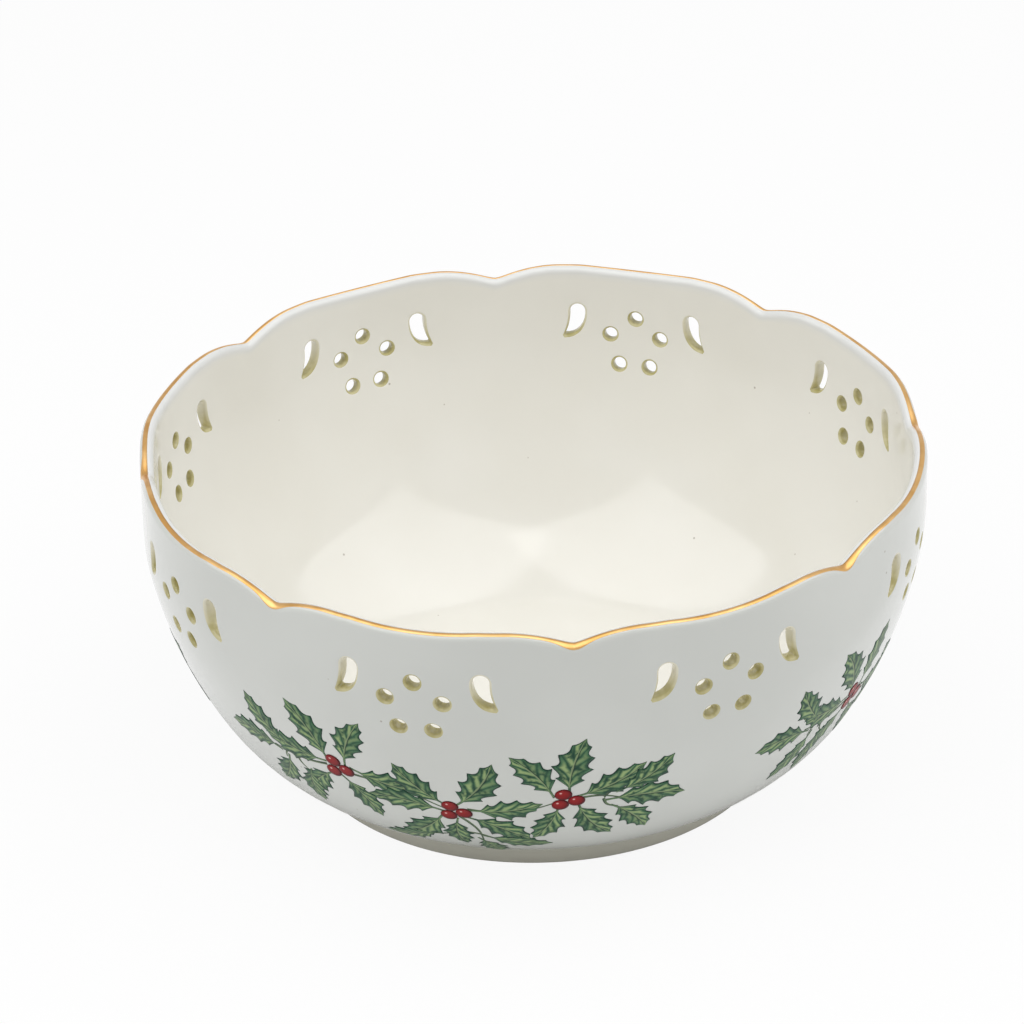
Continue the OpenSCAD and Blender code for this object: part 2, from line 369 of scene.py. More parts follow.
def makeGlaze(name, tones):
    mat, tree, shader = startMaterial(name)
    where = addNode(tree, "TexCoord").outputs["Object"]
    z = addNode(tree, "SeparateXYZ", {0: where}).outputs[2]
    cloud = ramp(tree, noise(tree, where, 22), 0.35, 0.65)
    colour = blend(tree, cloud, tones[0], tones[1])
    cells = addNode(tree, "TexVoronoi", {"Vector": where, "Scale": glazeLook["speckScale"]})
    dot = ramp(tree, cells.outputs["Distance"], *glazeLook["speckEdge"], 1, 0)
    chance = addNode(tree, "SeparateColor", {0: cells.outputs["Color"]}).outputs[0]
    rare = maths(tree, "GREATER_THAN", chance, glazeLook["speckShare"])
    speck = maths(tree, "MULTIPLY", maths(tree, "MULTIPLY", dot, rare),
                  glazeLook["speckDepth"])
    colour = blend(tree, speck, colour, glazeLook["speck"])
    # the outside darkens to a painted shade at the heel
    if tones is glazeLook["outside"]:
        colour = blend(tree, ramp(tree, z, *glazeLook["heelShadeFade"]), colour,
                       glazeLook["heel"])
    else:
        # painted light on the lip, a cooler, whiter tone
        litLip = addNode(tree, "Attribute", attribute_name="lipLightShare").outputs["Fac"]
        colour = blend(tree, litLip, colour, glazeLook["lip"])
    # painted shade on the foot ring
    colour = blend(tree, ramp(tree, z, *glazeLook["footShadeFade"]), colour, glazeLook["foot"])
    bare = ramp(tree, z, *glazeLook["bareFade"])
    colour = blend(tree, bare, colour, glazeLook["bisque"])
    tree.links.new(colour, shader.inputs["Base Color"])
    rough = maths(tree, "MULTIPLY_ADD", noise(tree, where, 60), 0.05,
                  glazeLook["roughness"] - 0.025)
    rough = maths(tree, "MULTIPLY_ADD", bare, glazeLook["bareRoughness"], rough, clamp=True)
    tree.links.new(rough, shader.inputs["Roughness"])
    bump = addNode(tree, "Bump", {"Height": noise(tree, where, 34, 1.0), "Strength": 1.0,
                                  "Distance": glazeLook["waviness"]})
    tree.links.new(bump.outputs[0], shader.inputs["Normal"])
    shader.inputs["IOR"].default_value = 1.5
    shader.inputs["Coat Weight"].default_value = 0.35
    shader.inputs["Coat Roughness"].default_value = 0.05
    return mat


# painted shade in the holes: an olive tone, mottled, over glaze pooled there; and painted
# light on the commas' lit sides
piercedLook = {
    "pooledAndShaded": (0.46, 0.41, 0.16, 1),        # glaze gathered in the hole, darkened as painted shade
    "thin": (0.62, 0.57, 0.32, 1),
    "paintedLitSide": (0.80, 0.765, 0.62, 1),        # painted light on the upper part of a comma's sides
    "poolAndShadeTop": 0.0825,                    # a comma's sides turn to the olive painted shade below this height
    "poolAndShadeDepth": 0.0085,
    "roughness": 0.22,
}


def makePiercedGlaze():
    mat, tree, shader = startMaterial("piercedGlaze")
    where = addNode(tree, "TexCoord").outputs["Object"]
    # olive painted shade in the holes, mottled between two tones
    pooledAndShaded = ramp(tree, noise(tree, where, 320), 0.3, 0.7)
    colour = blend(tree, pooledAndShaded, piercedLook["pooledAndShaded"], piercedLook["thin"])
    # painted light on the commas' upper sides, with the painted shade below
    deep = addNode(tree, "Attribute", attribute_name="poolAndShadeShare").outputs["Fac"]
    colour = blend(tree, deep, piercedLook["paintedLitSide"], colour)
    tree.links.new(colour, shader.inputs["Base Color"])
    rough = maths(tree, "MULTIPLY_ADD", pooledAndShaded, 0.1, piercedLook["roughness"] - 0.05)
    tree.links.new(rough, shader.inputs["Roughness"])
    shader.inputs["Coat Weight"].default_value = 0.3
    shader.inputs["Coat Roughness"].default_value = 0.08
    return mat


goldLook = {
    "bright": (0.90, 0.56, 0.23, 1),
    "deep": (0.74, 0.40, 0.12, 1),
    "roughness": 0.32,
}


def makeGilding():
    mat, tree, shader = startMaterial("gilding")
    where = addNode(tree, "TexCoord").outputs["Object"]
    cloud = ramp(tree, noise(tree, where, 130, 3.0), 0.35, 0.7)
    tree.links.new(blend(tree, cloud, goldLook["bright"], goldLook["deep"]),
                   shader.inputs["Base Color"])
    rough = maths(tree, "MULTIPLY_ADD", noise(tree, where, 420, 2.0), 0.16,
                  goldLook["roughness"] - 0.08)
    tree.links.new(rough, shader.inputs["Roughness"])
    bump = addNode(tree, "Bump", {"Height": noise(tree, where, 900, 2.0), "Strength": 0.5,
                                  "Distance": 0.00001})
    tree.links.new(bump.outputs[0], shader.inputs["Normal"])
    shader.inputs["Metallic"].default_value = 1.0
    return mat


leafLook = {
    "dark": (0.018, 0.072, 0.042, 1),
    "mid": (0.062, 0.17, 0.085, 1),
    "light": (0.34, 0.46, 0.20, 1),
    "line": (0.010, 0.038, 0.026, 1),
    "rib": (0.30, 0.38, 0.20, 1),
    "veins": 5.0,
}


printLook = {
    "roughness": 0.32,
    "berryRoughness": 0.3,
    "shine": 0.12,
}


def printUv(tree):                 # along the shape and across it, both 0 to 1
    uv = addNode(tree, "UVMap", uv_map="UVMap").outputs[0]
    parts = addNode(tree, "SeparateXYZ", {0: uv}).outputs
    return parts[0], parts[1]


def makeLeafPrint():
    mat, tree, shader = startMaterial("leafPrint")
    where = addNode(tree, "TexCoord").outputs["Object"]
    u, v = printUv(tree)
    tone = addNode(tree, "Attribute", attribute_name="leafTone").outputs["Fac"]
    side = maths(tree, "MULTIPLY_ADD", v, 2.0, -1.0)          # -1 and 1 at the edges
    across = maths(tree, "ABSOLUTE", side)
    wash = noise(tree, where, 480, 3.0)
    wave = maths(tree, "MULTIPLY_ADD", across, -1.6,
                 maths(tree, "MULTIPLY", u, leafLook["veins"]))
    wave = maths(tree, "FRACT", maths(tree, "ADD", wave, tone))
    hump = maths(tree, "ABSOLUTE", maths(tree, "MULTIPLY_ADD", wave, 2.0, -1.0))
    patch = maths(tree, "MULTIPLY", ramp(tree, hump, 0.85, 0.15),
                  ramp(tree, across, 0.92, 0.45))
    patch = maths(tree, "MULTIPLY", patch, ramp(tree, wash, 0.28, 0.52))
    lightSide = maths(tree, "MULTIPLY_ADD", ramp(tree, side, -0.5, 0.5), 0.5, 0.5)
    colour = blend(tree, ramp(tree, wash, 0.3, 0.7), leafLook["dark"], leafLook["mid"])
    colour = blend(tree, maths(tree, "MULTIPLY", patch, lightSide), colour,
                   leafLook["light"])
    vein = maths(tree, "MULTIPLY", ramp(tree, hump, 0.86, 0.96), 0.7)
    colour = blend(tree, vein, colour, leafLook["line"])
    shade = maths(tree, "MULTIPLY", ramp(tree, side, -0.22, -0.05),
                  ramp(tree, side, 0.02, -0.04))
    colour = blend(tree, shade, colour, leafLook["line"])
    rib = maths(tree, "MULTIPLY", ramp(tree, across, 0.07, 0.03), ramp(tree, u, 0.98, 0.8))
    colour = blend(tree, maths(tree, "MULTIPLY", rib, 0.75), colour, leafLook["rib"])
    edge = ramp(tree, across, 0.86, 0.98)
    colour = blend(tree, edge, colour, leafLook["line"])
    tree.links.new(colour, shader.inputs["Base Color"])
    shader.inputs["Roughness"].default_value = printLook["roughness"]
    shader.inputs["Specular IOR Level"].default_value = printLook["shine"]
    return mat


berryLook = {
    "red": (0.235, 0.004, 0.006, 1),
    "bright": (0.32, 0.009, 0.010, 1),
    "rim": (0.085, 0.004, 0.007, 1),
    "shine": (0.80, 0.50, 0.47, 1),
}


def makeBerryPrint():
    mat, tree, shader = startMaterial("berryPrint")
    uv = addNode(tree, "UVMap", uv_map="UVMap").outputs[0]

    def spot(x, y, inner, outer):
        far = addNode(tree, "VectorMath", {0: uv, 1: (x, y, 0)}, operation="DISTANCE")
        return ramp(tree, far.outputs["Value"], inner, outer, 1, 0)

    colour = blend(tree, spot(0.4, 0.62, 0.1, 0.42), berryLook["red"], berryLook["bright"])
    colour = blend(tree, maths(tree, "SUBTRACT", 1.0, spot(0.44, 0.53, 0.32, 0.52)), colour,
                   berryLook["rim"])
    colour = blend(tree, spot(0.34, 0.67, 0.03, 0.1), colour, berryLook["shine"])
    tree.links.new(colour, shader.inputs["Base Color"])
    shader.inputs["Roughness"].default_value = printLook["berryRoughness"]
    shader.inputs["Specular IOR Level"].default_value = printLook["shine"]
    return mat


stemLook = {
    "light": (0.16, 0.22, 0.12, 1),
    "dark": (0.045, 0.085, 0.05, 1),
}


def makeStemPrint():
    mat, tree, shader = startMaterial("stemPrint")
    u, v = printUv(tree)
    where = addNode(tree, "TexCoord").outputs["Object"]
    low = ramp(tree, maths(tree, "ADD", v, noise(tree, where, 500)), 0.75, 1.25)
    tree.links.new(blend(tree, low, stemLook["dark"], stemLook["light"]),
                   shader.inputs["Base Color"])
    shader.inputs["Roughness"].default_value = printLook["roughness"]
    shader.inputs["Specular IOR Level"].default_value = printLook["shine"]
    return mat


# the outside glaze is a painted shade and the inside glaze a painted light: darker and
# lighter copies of one glaze
glaze = makeGlaze("shadedOutsideGlaze", glazeLook["outside"])
litInsideGlaze = makeGlaze("litInsideGlaze", glazeLook["inside"])
piercedGlaze = makePiercedGlaze()
gilding = makeGilding()
leafPrint = makeLeafPrint()
berryPrint = makeBerryPrint()
stemPrint = makeStemPrint()
print("materials mixed")


def roundOutline(count, grow):     # starts at the lower left, counter-clockwise
    r = piercing["holeRadius"] + grow
    start = math.radians(225)
    return [(r * math.cos(start + 2 * math.pi * i / count),
             r * math.sin(start + 2 * math.pi * i / count)) for i in range(count)]


def commaPoints(less):             # from the tail's tip, up the hollow side and round
    w = piercing["commaWidth"] + 2 * less
    tail = piercing["commaTail"] + 1.8 * less
    tip = piercing["commaTip"] + less
    fine = 60
    points = []
    for i in range(fine):          # hollow side, up from the tip
        t = 1 - i / fine
        points.append((w / 2 + (tip - w / 2) * t * t
                       - piercing["commaHollow"] * w * math.sin(math.pi * t), -tail * t))
    for i in range(fine):          # head
        a = math.pi * i / fine
        points.append((w / 2 * math.cos(a), w / 2 * math.sin(a)))
    for i in range(fine):          # full side, down to the tip
        a = math.pi / 2 * i / fine
        points.append((tip - (tip + w / 2) * math.cos(a) ** piercing["commaFullness"],
                       -tail * math.sin(a)))
    return points


def evenlySpaced(points, count):
    far = [0]
    for i, (x, y) in enumerate(points):
        nextX, nextY = points[(i + 1) % len(points)]
        far.append(far[-1] + math.hypot(nextX - x, nextY - y))
    out = []
    i = 0
    for k in range(count):
        want = (k + 0.5) / count * far[-1]
        while far[i + 1] < want:
            i += 1
        share = (want - far[i]) / (far[i + 1] - far[i])
        x, y = points[i]
        nextX, nextY = points[(i + 1) % len(points)]
        out.append((x + (nextX - x) * share, y + (nextY - y) * share))
    return out


def commaOutline(count, grow):     # a smaller one keeps the shape, a larger one runs round it
    points = evenlySpaced(commaPoints(min(grow, 0)), count)
    if grow <= 0:
        return points
    grown = []
    for k in range(count):
        dx = points[(k + 1) % count][0] - points[k - 1][0]
        dy = points[(k + 1) % count][1] - points[k - 1][1]
        run = math.hypot(dx, dy)
        grown.append((points[k][0] + dy / run * grow, points[k][1] - dx / run * grow))
    return grown


cell = lobeStep * bowl["rimRadius"] / panelGrid["columns"]
flowerS = heightToLength(piercing["flowerHeight"])


def openHole(panel, middle, block, outlineOf, mirrored):
    # middle: hole's place on the flat panel; block: first and last column and row of the
    # faces that make way for it, counted from the flower's middle
    left, right, low, high = block
    step = panelGrid["fineStep"]
    x0, x1 = left * cell, right * cell
    y0, y1 = flowerS + low * step, flowerS + high * step
    tiny = cell * 0.2

    def within(p):
        return x0 - tiny < p.x < x1 + tiny and y0 - tiny < p.y < y1 + tiny

    pick(panel, "FACE", lambda f: within(f.calc_center_median()))
    bpy.ops.mesh.delete(type="FACE")
    pick(panel, "EDGE", lambda e: e.is_boundary and all(within(v.co) for v in e.verts))
    wide, tall = right - left, high - low
    count = 2 * (wide + tall)

    def roundBlock(p):             # which step round the block's edge a point is on
        i, j = round((p.x - x0) / cell), round((p.y - y0) / step)
        if mirrored:
            i = wide - i
        if outlineOf is commaOutline:      # from the lower right corner
            if i == wide:
                k = j
            elif j == tall:
                k = tall + wide - i
            elif i == 0:
                k = 2 * tall + wide - j
            else:
                k = 2 * tall + wide + i
            return k % count
        if j == 0:                         # from the lower left corner
            k = i
        elif i == wide:
            k = wide + j
        elif j == tall:
            k = 2 * wide + tall - i
        else:
            k = 2 * wide + 2 * tall - j
        return k % count

    stretch = bowl["rimRadius"] / sectionAt(middle[1])[0]
    mesh = bmesh.from_edit_mesh(panel.data)
    steps = {}
    for v in mesh.verts:
        if v.select:
            steps[(round(v.co.x, 7), round(v.co.y, 7))] = roundBlock(v.co)
    grows = (piercing["ringGap"], -piercing["throatIn"])
    if outlineOf is commaOutline:
        grows = (piercing["commaRingGap"], -piercing["commaThroatIn"])
    for grow in grows:
        outline = outlineOf(count, grow)
        bpy.ops.mesh.extrude_edges_move()
        nextSteps = {}

        def place(p):
            k = steps[(round(p.x, 7), round(p.y, 7))]
            x, y = outline[k]
            if mirrored:
                x = -x
            q = Vector((middle[0] + x * stretch, middle[1] + y, 0))
            nextSteps[(round(q.x, 7), round(q.y, 7))] = k
            return q

        moveSelected(panel, place)
        steps = nextSteps
    print("hole at", [round(1000 * m, 1) for m in middle], "with", count, "points")


def makePanel():
    rows = [flowerS + k * panelGrid["fineStep"]
            for k in range(-panelGrid["fineBelow"], panelGrid["fineAbove"] + 1)]
    below = [rows[0] * k / panelGrid["rowsBelow"] for k in range(panelGrid["rowsBelow"])]
    rows = below + rows + list(panelGrid["rowsAbove"]) + [fullLength]
    bpy.ops.mesh.primitive_grid_add(x_subdivisions=panelGrid["columns"],
                                    y_subdivisions=len(rows) - 1, size=2)
    panel = renamed("porcelainBowl")
    startEdit(panel)
    bpy.ops.mesh.select_all(action="SELECT")
    moveSelected(panel, lambda p: Vector(
        (round((p.x + 1) / 2 * panelGrid["columns"] - panelGrid["columns"] / 2) * cell,
         rows[round((p.y + 1) / 2 * (len(rows) - 1))], 0)))
    flowerZ = piercing["flowerHeight"]
    reach = piercing["roundBlock"]
    for k in range(piercing["petals"]):
        a = math.radians(90) + 2 * math.pi * k / piercing["petals"]
        x = piercing["flowerRadius"] * math.cos(a)
        y = heightToLength(flowerZ + piercing["flowerRadius"] * math.sin(a))
        column = round(x / cell)
        row = round((y - flowerS) / panelGrid["fineStep"])
        openHole(panel, (x, y), (column - reach, column + reach, row - reach, row + reach),
                 roundOutline, False)
    headS = heightToLength(flowerZ + piercing["commaRise"])
    left, right, low, high = piercing["commaBlock"]
    openHole(panel, (piercing["commaOff"], headS), (left, right, low, high),
             commaOutline, False)
    openHole(panel, (-piercing["commaOff"], headS), (-right, -left, low, high),
             commaOutline, True)
    return panel


def outward(v):
    return (v.co.x * v.normal.x + v.co.y * v.normal.y) > 0


def makeWall():
    panel = makePanel()
    print("flat panel pierced")
    bpy.ops.mesh.select_all(action="SELECT")
    moveSelected(panel, lambda p: wallPoint(p.x / bowl["rimRadius"], p.y))
    bpy.ops.mesh.spin(steps=bowl["lobes"] - 1, dupli=True, center=(0, 0, 0),
                      angle=lobeStep * (bowl["lobes"] - 1), axis=(0, 0, 1))
    bpy.ops.mesh.select_all(action="SELECT")
    bpy.ops.mesh.remove_doubles(threshold=bowl["mergeGap"])
    bpy.ops.mesh.normals_make_consistent(inside=False)
    mesh = bmesh.from_edit_mesh(panel.data)
    mesh.normal_update()
    if sum(1 if outward(v) else -1 for v in mesh.verts) < 0:
        bpy.ops.mesh.flip_normals()
    bpy.ops.object.mode_set(mode="OBJECT")
    for material in (glaze, piercedGlaze, litInsideGlaze):
        panel.data.materials.append(material)
    applyModifier(panel, "SOLIDIFY", thickness=bowl["wall"], offset=-1,
                  use_even_offset=True, use_quality_normals=True,
                  material_offset_rim=holeSlot)
    print("wall has its thickness", len(panel.data.polygons))
    return panel


def roundLip(panel):
    # the edge strips that solidify made are the holes' sides, the lip and the wall's lower
    # edge, where the foot takes its place
    pick(panel, "FACE", lambda f: f.material_index == holeSlot
         and f.calc_center_median().z < edgeTop)
    bpy.ops.mesh.delete(type="FACE")

    def lip(f):
        return f.material_index == holeSlot and f.calc_center_median().z > bowl["lipFrom"]

    panel.active_material_index = outsideSlot
    lipEdges = pick(panel, "EDGE", lambda e: len(e.link_faces) == 2
                    and lip(e.link_faces[0]) != lip(e.link_faces[1]))
    bpy.ops.mesh.bevel(offset=bowl["lipRound"], offset_type="OFFSET", affect="EDGES",
                       segments=bowl["lipSteps"], profile=0.5, clamp_overlap=False,
                       material=outsideSlot)
    print("lip rounded", lipEdges)
    pick(panel, "FACE", lip)
    bpy.ops.object.material_slot_assign()


def roundHoles(panel):
    holeEdges = pick(panel, "EDGE", lambda e: len(e.link_faces) == 2
                     and e.link_faces[0].material_index != e.link_faces[1].material_index)
    bpy.ops.mesh.bevel(offset=bowl["holeRound"], offset_type="OFFSET", affect="EDGES",
                       segments=bowl["holeSteps"], profile=0.5, clamp_overlap=False,
                       material=outsideSlot)
    print("holes rounded", holeEdges)

    def steep(f):                  # the tint of painted shade reaches out over the rounding
        p = f.calc_center_median()
        if f.material_index == holeSlot or not piercing["bandFrom"] < p.z < bowl["lipFrom"]:
            return False
        turn = math.atan2(p.y, p.x)
        lean = math.asin(min(max((bellyZ - p.z) / bellyArc, 0), 1))
        out = Vector((math.cos(turn) * math.cos(lean), math.sin(turn) * math.cos(lean),
                      -math.sin(lean)))
        return abs(f.normal.dot(out)) < piercing["tintReach"]

    panel.active_material_index = holeSlot
    print("holes tinted", pick(panel, "FACE", steep))
    for k in range(piercing["tintCloses"]):      # closes small gaps at the tails
        bpy.ops.mesh.select_more()
    for k in range(piercing["tintCloses"]):
        bpy.ops.mesh.select_less()
    bpy.ops.object.material_slot_assign()


def pullRings(panel, radiiAndHeights):     # each ring is drawn out of the one before
    for r, z in radiiAndHeights:
        bpy.ops.mesh.extrude_edges_move()
        moveSelected(panel, lambda p: Vector(
            (p.x, p.y, 0)).normalized() * r + Vector((0, 0, z)))
    bpy.ops.mesh.merge(type="CENTER")


def closeFootAndFloor(panel):
    foot = bowl["footRadius"]
    inner = foot - bowl["footWidth"]
    heel = pick(panel, "EDGE", lambda e: e.is_boundary
                and all(v.co.z < bowl["footHeight"] + 0.001 for v in e.verts))
    under = [(footTopR + step, z) for step, z in rings["footTop"]]
    under += [(foot + step, z) for step, z in rings["footOutside"]]
    under += [(inner + step, z) for step, z in rings["footInside"]]
    under += [(r, bowl["recess"]) for r in (inner - rings["recessIn"],) + rings["recess"]]
    pullRings(panel, under)
    inside = pick(panel, "EDGE", lambda e: e.is_boundary)
    pullRings(panel, rings["cove"] + tuple((r, bowl["floor"]) for r in rings["floor"]))
    print("foot and floor closed", heel, inside)
    bpy.ops.mesh.select_all(action="SELECT")
    bpy.ops.mesh.normals_make_consistent(inside=False)


def paintLitInside(panel):
    def inward(f):                 # the inside glaze, lighter and warmer as painted light, starts under the gold line
        p = f.calc_center_median()
        out = (p.x * f.normal.x + p.y * f.normal.y) / max(math.hypot(p.x, p.y), 0.001)
        if p.z > bowl["lipFrom"]:
            return out < 0.5
        return out < 0 and p.z > edgeTop or f.normal.z > 0.3 and p.z > floorFrom

    panel.active_material_index = litInsideSlot
    print("warmer inside",
          pick(panel, "FACE", lambda f: f.material_index != holeSlot and inward(f)))
    bpy.ops.object.material_slot_assign()


def writeShares(panel):            # what the glazes read to place the painted shade in the holes and the painted light on the lip
    poolAndShade, litLip = [], []
    below, over = glazeLook["lipLightFade"]
    for v in panel.data.vertices:
        turn = math.atan2(v.co.y, v.co.x)
        aside = abs((turn + lobeStep / 2) % lobeStep - lobeStep / 2) * bowl["rimRadius"]
        isComma = aside > piercing["flowerRadius"] + 2 * piercing["holeRadius"]
        poolAndShade.append(smooth((piercedLook["poolAndShadeTop"] - v.co.z) / piercedLook["poolAndShadeDepth"])
                      if isComma else 1.0)
        litLip.append(smooth((v.co.z - rimTop(turn) + below) / over))
    for name, values in (("poolAndShadeShare", poolAndShade), ("lipLightShare", litLip)):
        layer = panel.data.attributes.new(name, "FLOAT", "POINT")
        layer.data.foreach_set("value", values)


outsideSlot, holeSlot, litInsideSlot = 0, 1, 2
edgeTop = 0.012                    # the wall's lower edges and the foot are below this height
floorFrom = 0.0075                 # the floor's upper face is above this height


def makeBowl():
    panel = makeWall()
    startEdit(panel)
    roundLip(panel)
    roundHoles(panel)
    closeFootAndFloor(panel)
    paintLitInside(panel)
    bpy.ops.object.mode_set(mode="OBJECT")
    bpy.ops.object.shade_smooth()
    writeShares(panel)
    return panel


goldLine = {
    "lowest": math.radians(57),       # how far round the lip the brush line reaches
    "notchLowest": math.radians(22),
    "notchReach": 0.0042,
    "overTop": 0.0004,
    "riseShare": 0.9,                 # of its width lies on the rounding, the rest on top
    "columns": 720,
    "rows": 10,
    "mergeGap": 0.000002,
    "lift": 0.00004,
    "thickness": 0.00006,
}


def lipPoint(turn, share):
    # share runs from the line's outer edge up over the lip to its inner edge
    aside, below = 0.002, 0.001        # small steps, as a turn and as a length
    top = wallPoint(turn, fullLength)
    out = wallNormal(turn, fullLength - below)
    along = (wallPoint(turn + aside, fullLength)
             - wallPoint(turn - aside, fullLength)).normalized()
    up = out.cross(along)
    if up.z < 0:
        up = -up
    fromNotch = bowl["rimRadius"] * abs((turn % lobeStep) - lobeStep / 2)
    wedge = math.exp(-(fromNotch / goldLine["notchReach"]) ** 2)
    low = goldLine["lowest"] + (goldLine["notchLowest"] - goldLine["lowest"]) * wedge
    rise = goldLine["riseShare"]
    a = low + (math.pi / 2 - low) * min(share / rise, 1)
    r = bowl["lipRound"]
    over = max(share - rise, 0) / (1 - rise) * goldLine["overTop"]
    return top + out * (r * math.cos(a) - r - over) + up * (r * math.sin(a) - r)


def makeGoldLine(body):
    deselectAll()
    columns, rows = goldLine["columns"], goldLine["rows"]
    bpy.ops.mesh.primitive_grid_add(x_subdivisions=columns, y_subdivisions=rows, size=2)
    gold = renamed("giltRimLine")
    startEdit(gold)
    bpy.ops.mesh.select_all(action="SELECT")
    moveSelected(gold, lambda p: lipPoint(math.pi * (p.x + 1), (p.y + 1) / 2))
    bpy.ops.mesh.remove_doubles(threshold=goldLine["mergeGap"])
    bpy.ops.mesh.normals_make_consistent(inside=False)
    mesh = bmesh.from_edit_mesh(gold.data)
    if sum(f.normal.z for f in mesh.faces) < 0:
        bpy.ops.mesh.flip_normals()
    bpy.ops.object.mode_set(mode="OBJECT")
    gold.data.materials.append(gilding)
    applyModifier(gold, "SHRINKWRAP", target=body, wrap_method="NEAREST_SURFACEPOINT",
                  wrap_mode="ABOVE_SURFACE", offset=goldLine["lift"])
    applyModifier(gold, "SOLIDIFY", thickness=goldLine["thickness"], offset=-1)
    bpy.ops.object.shade_smooth()
    print("gold line", len(gold.data.polygons))
    return gold


spray = {
    "width": 0.118,
    "height": 0.056,
    "low": 0.012,
    "turn": math.radians(3),
    "leaf": 0.0195,
    "bend": 0.06,
    "berry": 0.0046,
    "berrySpread": 0.57,
    "berryAngles": (110, 230, 350),
    "stem": 0.001,
    "stemTip": 0.45,          # width of a stem's end as a share of its start
    "lift": 0.00003,          # of a print's face off the wall
    "leafStack": 0.0000025,   # each leaf lies this much over the one before
    "berryOver": 0.00009,
    "berryStack": 0.000004,
    "stemUnder": 0.00001,
    "stemStack": 0.000002,
    "thickness": 0.00008,
}

# place along the spray, height in its band, direction, share of a full leaf, bend
leafPlaces = (
    (-0.275, 0.755, 118, 1, -1), (-0.225, 0.76, 66, 0.9, 1), (-0.3, 0.7, 168, 0.95, 1),
    (-0.285, 0.6, 232, 0.9, -1), (-0.235, 0.59, 292, 0.85, 1), (-0.195, 0.685, 352, 1, -1),
    (-0.4, 0.73, 122, 0.85, 1), (-0.43, 0.66, 178, 0.9, -1), (-0.4, 0.585, 236, 0.85, 1),
    (-0.345, 0.54, 262, 0.8, -1), (-0.02, 0.575, 128, 0.9, 1), (0.03, 0.585, 62, 1, -1),
    (-0.035, 0.51, 176, 0.95, -1), (-0.03, 0.42, 226, 1, 1), (0.01, 0.4, 272, 0.8, -1),
    (0.055, 0.44, 322, 0.95, 1), (0.065, 0.52, 14, 0.9, -1), (0.085, 0.25, 346, 0.85, -1),
    (0.06, 0.2, 282, 0.75, 1), (-0.07, 0.22, 202, 0.85, 1), (0.225, 0.69, 126, 0.9, -1),
    (0.265, 0.71, 78, 1, 1), (0.3, 0.66, 34, 0.95, -1), (0.24, 0.535, 246, 0.85, 1),
    (0.29, 0.55, 302, 0.95, -1), (0.37, 0.6, 352, 1, 1), (0.385, 0.67, 42, 0.85, -1),
    (0.375, 0.52, 306, 0.85, 1),
)
clusterPlaces = ((-0.25, 0.68), (0.01, 0.5), (0.26, 0.62))
# start and end, each as a place and a height, and how far the stem bows
stemPlaces = (
    (-0.225, 0.66, -0.008, 0.517, 0.02), (0.04, 0.53, 0.235, 0.6, -0.02),
    (-0.275, 0.68, -0.43, 0.67, 0.01), (-0.36, 0.675, -0.345, 0.56, -0.01),
    (-0.37, 0.675, -0.405, 0.6, -0.01), (-0.37, 0.675, -0.4, 0.73, 0.01),
    (0.285, 0.63, 0.38, 0.6, 0.01), (0.34, 0.62, 0.385, 0.67, 0.01),
    (0.34, 0.61, 0.375, 0.53, -0.01), (0.02, 0.46, 0.06, 0.2, 0.015),
    (0.03, 0.3, 0.085, 0.25, 0.005), (0.025, 0.34, -0.07, 0.22, 0.01),
)

# a leaf's spines: share of the length, half width there, depth of the scallop after it
spines = ((0.0, 0.02, 0.03), (0.2, 0.2, 0.072), (0.43, 0.285, 0.078), (0.66, 0.245, 0.07),
          (0.86, 0.13, 0.03), (1.0, 0.0, 0.0))
spineSteps = (5, 7, 7, 6, 5)       # columns of faces from each spine to the next
stalk = ((-0.15, 0.02), (-0.08, 0.018))
printR = sectionAt(spray["low"] + spray["height"] / 2)[0]


def leafColumns():
    columns = list(stalk)
    for k, count in enumerate(spineSteps):
        t0, w0, depth = spines[k]
        t1, w1 = spines[k + 1][:2]
        for i in range(count):
            q = (i / count) ** 1.25
            sag = depth * 3.39 * q ** 0.6 * (1 - q) ** 1.4      # deepest near the first spine
            columns.append((t0 + (t1 - t0) * q, w0 + (w1 - w0) * q - sag))
    columns.append((1.0, 0.0015))
    return columns


def inSpray(place, x, y, lift):    # place in the spray, then metres along and up the wall
    s = spray["low"] + place[1] * spray["height"]
    turn = math.radians(-90) + spray["turn"] + place[0] * spray["width"] / printR
    turn += x / sectionAt(s)[0]
    return wallPoint(turn, s + y) + wallNormal(turn, s + y) * lift


def copyOf(obj):
    twin = obj.copy()
    twin.data = obj.data.copy()
    bpy.context.collection.objects.link(twin)
    return twin


def joined(pieces, name, material):
    deselectAll()
    for p in pieces:
        p.select_set(True)
    bpy.context.view_layer.objects.active = pieces[0]
    bpy.ops.object.join()
    obj = renamed(name)
    obj.data.materials.clear()
    obj.data.materials.append(material)
    applyModifier(obj, "SOLIDIFY", thickness=spray["thickness"], offset=-1)
    bpy.ops.object.shade_smooth()
    return obj


